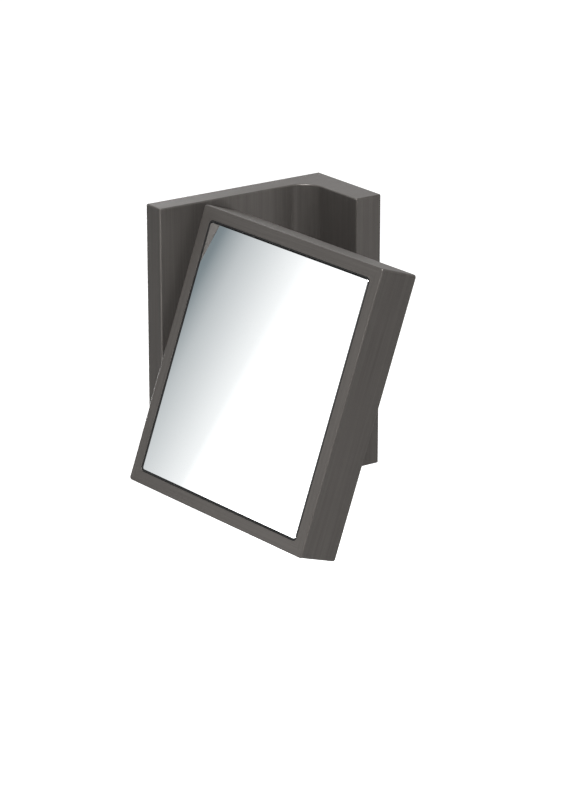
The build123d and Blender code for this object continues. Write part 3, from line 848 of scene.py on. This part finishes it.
def paleFloor():
    material, nodes, links, shader = newMaterial("paleFloor")
    patches = placed(nodes, handling, Size=2.0, Low=0.0, High=1.0)
    shade = studio["floorShade"]
    worn = mixColour(nodes, links, patches.outputs["Value"], shade, [c * 1.02 for c in shade])
    links.new(worn, shader.inputs["Base Color"])
    shader.inputs["Roughness"].default_value = 0.9
    shader.inputs["Specular IOR Level"].default_value = 0.1
    shader.inputs["Emission Color"].default_value = (1, 1, 1, 1)
    seen = nodes.new("ShaderNodeLightPath")
    glow = mapRange(nodes, links, seen.outputs["Is Camera Ray"], 0.0, studio["floorGlow"], 0, 1)
    links.new(glow, shader.inputs["Emission Strength"])
    reach, depth = studio["floorReach"], -studio["floorDepth"]
    return stagePlane("paleFloor", [(x * reach, y * reach, depth) for x, y in square], material)


paleFloor()

cameraSettings = {"place": (1.6980, -1.2594, 0.6604), "down": 18.807, "turn": 54.637, "lens": 145.74}
cameraData = bpy.data.cameras.new("camera")
cameraData.lens = cameraSettings["lens"]
cameraData.sensor_width = 36
cameraData.clip_end = 200
camera = bpy.data.objects.new("camera", cameraData)
camera.location = cameraSettings["place"]
camera.rotation_euler = (math.radians(90 - cameraSettings["down"]), 0, math.radians(cameraSettings["turn"]))
scene.collection.objects.link(camera)
scene.camera = camera


def gradientCard():
    # pale card that the glass looks at: dim at one corner, bright over the rest
    glassMiddle = headPlace @ Vector((0, 0, boxHalf.z))
    look = (glassMiddle - Vector(cameraSettings["place"])).normalized()
    bounce = look - 2 * look.dot(facing) * facing
    middle = glassMiddle + bounce * studio["cardAway"]
    side = bounce.cross(Vector((0, 0, 1))).normalized()
    rise = side.cross(bounce).normalized()
    material = bpy.data.materials.new("gradientCard")
    material.use_nodes = True
    nodes, links = material.node_tree.nodes, material.node_tree.links
    nodes.clear()
    out, glow = nodes.new("ShaderNodeOutputMaterial"), nodes.new("ShaderNodeEmission")
    links.new(glow.outputs[0], out.inputs["Surface"])
    layer = nodes.new("ShaderNodeUVMap")
    layer.uv_map = "card"
    split = nodes.new("ShaderNodeSeparateXYZ")
    links.new(layer.outputs["UV"], split.inputs[0])
    ramp = nodes.new("ShaderNodeValToRGB")
    elements = ramp.color_ramp.elements
    elements.remove(elements[1])
    for k, (at, shade) in enumerate(cardSteps):
        stop = elements[0] if k == 0 else elements.new(at)
        cool = 0.04 * (cardSteps[0][1] - shade)
        stop.position, stop.color = at, (shade - cool, shade, shade + cool / 2, 1)
    links.new(split.outputs["X"], ramp.inputs["Fac"])
    links.new(ramp.outputs["Color"], glow.inputs["Color"])
    boost = mapRange(nodes, links, split.outputs["Y"], studio["cardLow"], studio["cardLevel"],
                     *studio["lowSpan"])
    share = mapRange(nodes, links, split.outputs["X"], 1.0, 0.0, *studio["sideSpan"])
    strong = nodes.new("ShaderNodeMix")
    strong.data_type = "FLOAT"
    strong.inputs["A"].default_value = studio["cardLevel"]
    links.new(share, strong.inputs["Factor"])
    links.new(boost, strong.inputs["B"])
    links.new(strong.outputs["Result"], glow.inputs["Strength"])
    w, t = studio["cardWide"] / 2, studio["cardTall"] / 2
    corners = [tuple(middle + side * a * w + rise * b * t) for a, b in square]
    card = stagePlane("gradientCard", corners, material)
    layer = card.data.uv_layers.new(name="card")
    for corner, uv in zip(card.data.loops, ((0, 0), (1, 0), (1, 1), (0, 1))):
        layer.data[corner.index].uv = uv
    card.visible_camera = False
    card.visible_diffuse = False
    card.visible_shadow = False
    return card


gradientCard()


def softBox(name, place, target, wide, tall, power):
    light = bpy.data.lights.new(name, "AREA")
    light.shape = "RECTANGLE"
    light.size, light.size_y = wide, tall
    light.energy = power
    lamp = bpy.data.objects.new(name, light)
    lamp.location = place
    lamp.rotation_euler = (Vector(target) - Vector(place)).to_track_quat("-Z", "Y").to_euler()
    scene.collection.objects.link(lamp)
    lamp.visible_camera = False
    return lamp


lightTarget = (0.03, -0.1, 0.02)
lights = {  # place, width, height, watts
    "backLight": ((-2.2, 2.2, 1.3), 2.4, 1.6, 6.0),
    "topLight": ((0.9, -0.9, 2.2), 1.4, 1.4, 207.0),
    "edgeLight": ((1.15, -1.6, -0.45), 0.7, 0.7, 14.0),
    "sideLight": ((2.2, 0.7, -0.2), 1.0, 1.2, 15.0),
    "overLight": ((-1.36, 0.09, 1.46), 0.8, 0.8, 8.0),
    "rimLight": ((1.03, -1.38, 0.40), 0.30, 0.9, 9.0),
    "outerLight": ((-2.2, 0.5, -0.25), 1.4, 1.2, 60.0),
    "behindLight": ((-0.3, 2.6, -0.25), 1.4, 1.2, 11.0),
}
for name, (place, wide, tall, power) in lights.items():
    softBox(name, place, lightTarget, wide, tall, power)


def studioAir():
    # dim on the camera's side and overhead, brighter across the room, plain pale where the camera sees it
    world = bpy.data.worlds.new("studioAir")
    world.use_nodes = True
    nodes, links = world.node_tree.nodes, world.node_tree.links
    look = nodes.new("ShaderNodeTexCoord")
    toCamera = nodes.new("ShaderNodeVectorMath")
    toCamera.operation = "DOT_PRODUCT"
    toCamera.inputs[1].default_value = studio["cameraWay"]
    links.new(look.outputs["Generated"], toCamera.inputs[0])
    split = nodes.new("ShaderNodeSeparateXYZ")
    links.new(look.outputs["Generated"], split.inputs[0])
    level = nodes.new("ShaderNodeMath")
    level.operation = "MULTIPLY"
    sideways = mapRange(nodes, links, toCamera.outputs["Value"], *studio["air"], -1.0, 1.0)
    overhead = mapRange(nodes, links, split.outputs["Z"], *studio["airRise"], 0.0, 1.0)
    links.new(sideways, level.inputs[0])
    links.new(overhead, level.inputs[1])
    seen = nodes.new("ShaderNodeLightPath")
    pick = nodes.new("ShaderNodeMix")
    pick.data_type = "FLOAT"
    pick.inputs["B"].default_value = studio["airSeen"]
    links.new(seen.outputs["Is Camera Ray"], pick.inputs["Factor"])
    links.new(level.outputs[0], pick.inputs["A"])
    air = nodes["Background"]
    air.inputs["Color"].default_value = (1.0, 0.99, 0.98, 1)
    links.new(pick.outputs["Result"], air.inputs["Strength"])
    return world


scene.world = studioAir()
scene.view_settings.view_transform = "Standard"
scene.view_settings.look = "None"
print("studio ready")
